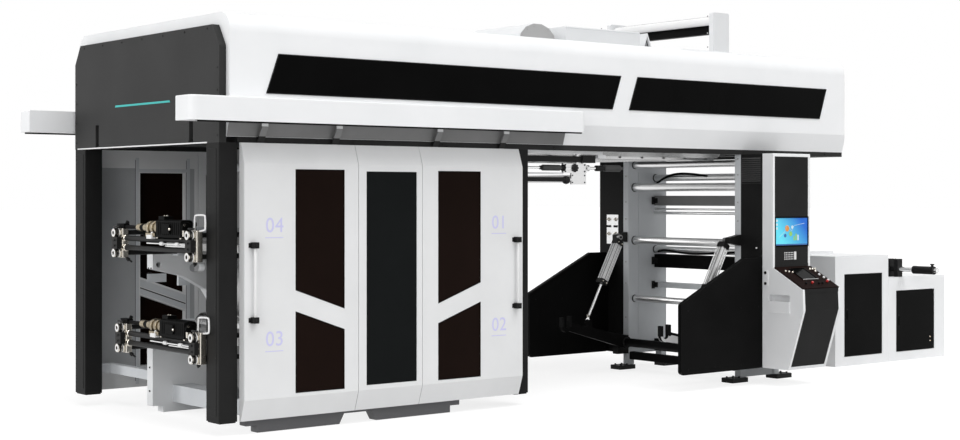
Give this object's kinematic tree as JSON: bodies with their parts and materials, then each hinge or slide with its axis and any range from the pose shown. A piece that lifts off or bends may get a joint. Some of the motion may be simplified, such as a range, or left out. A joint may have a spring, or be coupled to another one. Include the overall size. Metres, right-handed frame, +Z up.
{
  "type": "flexographic printing press",
  "caption": "Central drum flexographic printing press with sliding doors, a long hood, a winder with lifting reel arms, a console and cabinets.",
  "frame": {"origin": "on the floor, under the middle of the bounding box", "axes": "+X along the web from the print unit to the cabinets, +Y from the operator side to the back, +Z up"},
  "size_m": [11.046, 3.9629, 4.004],
  "materials": {
    "charcoal_paint": "satin powder coat",
    "white_paint": "smooth satin powder coat",
    "black_paint": "semi-gloss powder coat",
    "black_gloss": "polished black sheet",
    "dark_glass": "deep tinted sheet, glossy",
    "grey_casting": "smooth grey machine enamel",
    "ground_steel": "ground and polished",
    "ceramic_grey": "fine engraved ceramic coat",
    "aluminium": "mill finish sheet",
    "nickel": "dull nickel plate",
    "black_steel": "blackened and oiled",
    "roller_steel": "hard anodised, fine turned",
    "white_rubber": "smooth covered roller",
    "chrome_rod": "hard chrome",
    "screen_glass": "lit display behind glass",
    "brown_panel": "dark brown enamel"
  },
  "bodies": {
    "press_frame": {"end_panel": "charcoal_paint", "enclosure_posts": "charcoal_paint", "roof_beams": "charcoal_paint", "roof_cross_members": "charcoal_paint", "hood_shell": "white_paint", "hood_windows": "black_gloss", "rail_covers": "white_paint", "centre_panels": "white_paint", "centre_glass": "dark_glass", "print_side_frames": "grey_casting", "print_frame_ties": "grey_casting", "impression_drum": "ground_steel", "plate_cylinders": "ground_steel", "anilox_rollers": "ceramic_grey", "doctor_chambers": "aluminium", "deck_blocks": "grey_casting", "deck_brackets": "nickel", "deck_rods": "black_steel", "deck_motors": "black_steel", "dryer_tunnel": "aluminium", "fan_units": "white_paint", "gantry": "white_paint", "web_guide": "aluminium", "winder_plates": "grey_casting", "winder_feet": "black_steel", "winder_legs": "grey_casting", "winder_cross_beams": "grey_casting", "outer_covers": "black_paint", "wing_guards": "black_paint", "arm_bearings": "black_steel", "console_body": "white_paint", "console_panels": "black_gloss", "console_screen": "screen_glass", "console_desk": "brown_panel", "tall_cabinet": "white_paint", "low_cabinet": "white_paint", "roll_stand": "black_steel"},
    "door_front_left": {"door_front_left": "white_paint", "glass_front_left": "dark_glass", "handle_front_left": "black_steel"},
    "door_front_right": {"door_front_right": "white_paint", "glass_front_right": "dark_glass", "handle_front_right": "black_steel"},
    "door_rear_left": {"door_rear_left": "white_paint", "glass_rear_left": "dark_glass", "handle_rear_left": "black_steel"},
    "door_rear_right": {"door_rear_right": "white_paint", "glass_rear_right": "dark_glass", "handle_rear_right": "black_steel"},
    "guide_roller_1": {"guide_roller_1": "roller_steel"},
    "guide_roller_2": {"guide_roller_2": "roller_steel"},
    "guide_roller_3": {"guide_roller_3": "roller_steel"},
    "guide_roller_4": {"guide_roller_4": "roller_steel"},
    "guide_roller_5": {"guide_roller_5": "roller_steel"},
    "guide_roller_6": {"guide_roller_6": "roller_steel"},
    "gantry_roller": {"gantry_roller": "white_rubber"},
    "reel_arms": {"reel_arms": "black_paint"},
    "lift_cylinders": {"lift_cylinders": "aluminium"},
    "piston_rods": {"piston_rods": "chrome_rod"},
    "tall_cabinet_door": {"tall_cabinet_door": "black_paint"},
    "low_cabinet_door": {"low_cabinet_door": "black_paint"}
  },
  "joints": [
    {"name": "door_front_left_slide", "type": "slide", "parent": "press_frame", "child": "door_front_left", "axis": [-1, 0, 0], "range_m": [0, 0.6]},
    {"name": "door_front_right_slide", "type": "slide", "parent": "press_frame", "child": "door_front_right", "axis": [1, 0, 0], "range_m": [0, 0.6]},
    {"name": "door_rear_left_slide", "type": "slide", "parent": "press_frame", "child": "door_rear_left", "axis": [-1, 0, 0], "range_m": [0, 0.6]},
    {"name": "door_rear_right_slide", "type": "slide", "parent": "press_frame", "child": "door_rear_right", "axis": [1, 0, 0], "range_m": [0, 0.6]},
    {"name": "guide_roller_1_spin", "type": "hinge", "parent": "press_frame", "child": "guide_roller_1", "pos_m": [1.45, -0.2015, 2.38], "axis": [0, 1, 0], "continuous": true},
    {"name": "guide_roller_2_spin", "type": "hinge", "parent": "press_frame", "child": "guide_roller_2", "pos_m": [1.45, -0.2015, 2.12], "axis": [0, 1, 0], "continuous": true},
    {"name": "guide_roller_3_spin", "type": "hinge", "parent": "press_frame", "child": "guide_roller_3", "pos_m": [1.45, -0.2015, 1.5], "axis": [0, 1, 0], "continuous": true},
    {"name": "guide_roller_4_spin", "type": "hinge", "parent": "press_frame", "child": "guide_roller_4", "pos_m": [1.45, -0.2015, 0.82], "axis": [0, 1, 0], "continuous": true},
    {"name": "guide_roller_5_spin", "type": "hinge", "parent": "press_frame", "child": "guide_roller_5", "pos_m": [1.795, -0.2015, 2.234], "axis": [0, 1, 0], "continuous": true},
    {"name": "guide_roller_6_spin", "type": "hinge", "parent": "press_frame", "child": "guide_roller_6", "pos_m": [1.795, -0.2015, 1.39], "axis": [0, 1, 0], "continuous": true},
    {"name": "gantry_roller_spin", "type": "hinge", "parent": "press_frame", "child": "gantry_roller", "pos_m": [1.125, -0.1665, 3.924], "axis": [0, 1, 0], "continuous": true},
    {"name": "reel_arm_lift", "type": "hinge", "parent": "press_frame", "child": "reel_arms", "pos_m": [1.255, -0.2015, 0.32], "axis": [0, 1, 0], "range_deg": [0, 15]},
    {"name": "lift_cylinder_tilt", "type": "hinge", "parent": "press_frame", "child": "lift_cylinders", "pos_m": [1.205, -0.2015, 1.54], "axis": [0, 1, 0], "range_deg": [-0.5, 0]},
    {"name": "piston_rod_slide", "type": "slide", "parent": "lift_cylinders", "child": "piston_rods", "axis": [0.4849, 0, 0.8746], "range_m": [0, 0.1667]},
    {"name": "tall_cabinet_door_hinge", "type": "hinge", "parent": "press_frame", "child": "tall_cabinet_door", "pos_m": [4.234, -0.7755, 0.5], "axis": [0, 0, 1], "range_deg": [0, 110]},
    {"name": "low_cabinet_door_hinge", "type": "hinge", "parent": "press_frame", "child": "low_cabinet_door", "pos_m": [5.284, -0.7755, 0.5], "axis": [0, 0, 1], "range_deg": [0, 110]}
  ],
  "couplings": [
    {"joint": "lift_cylinder_tilt", "follows": "reel_arm_lift", "ratio": -0.0305},
    {"joint": "piston_rod_slide", "follows": "reel_arm_lift", "m_per_rad": 0.63297}
  ]
}
